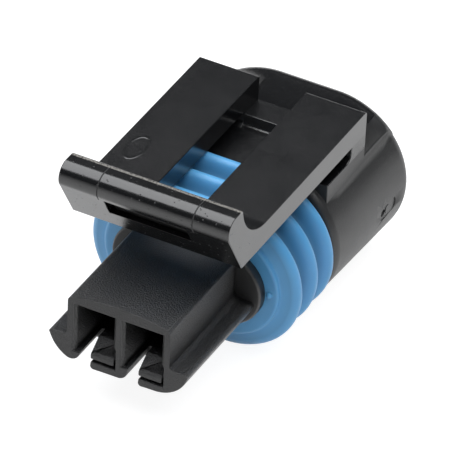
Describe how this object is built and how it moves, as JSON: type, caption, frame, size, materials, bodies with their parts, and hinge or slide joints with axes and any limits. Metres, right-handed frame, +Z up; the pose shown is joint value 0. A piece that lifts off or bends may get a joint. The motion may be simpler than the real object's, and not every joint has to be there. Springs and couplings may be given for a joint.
{
  "type": "sealed wire-to-wire connector housing",
  "caption": "Sealed cable connector housing with a cavity nose, a ribbed oblong ring seal, a rounded rear shell and a broad latch with a lead-in lip.",
  "frame": {"origin": "centre of the bounding box's bottom face, on the surface that the rear shell rests on", "axes": "+Y from the mating nose to the rear opening, +X across the contacts, +Z up towards the latch"},
  "size_m": [0.0206, 0.0354, 0.0215],
  "materials": {
    "housing": "moulded glass-filled nylon, satin with a fine grain",
    "ring_seal": "smooth blue silicone with a soft sheen",
    "cable_seal": "smooth blue silicone with a soft sheen"
  },
  "bodies": {
    "root": {"connector_housing": "housing", "ring_seal": "ring_seal", "cable_seal": "cable_seal"}
  },
  "joints": []
}
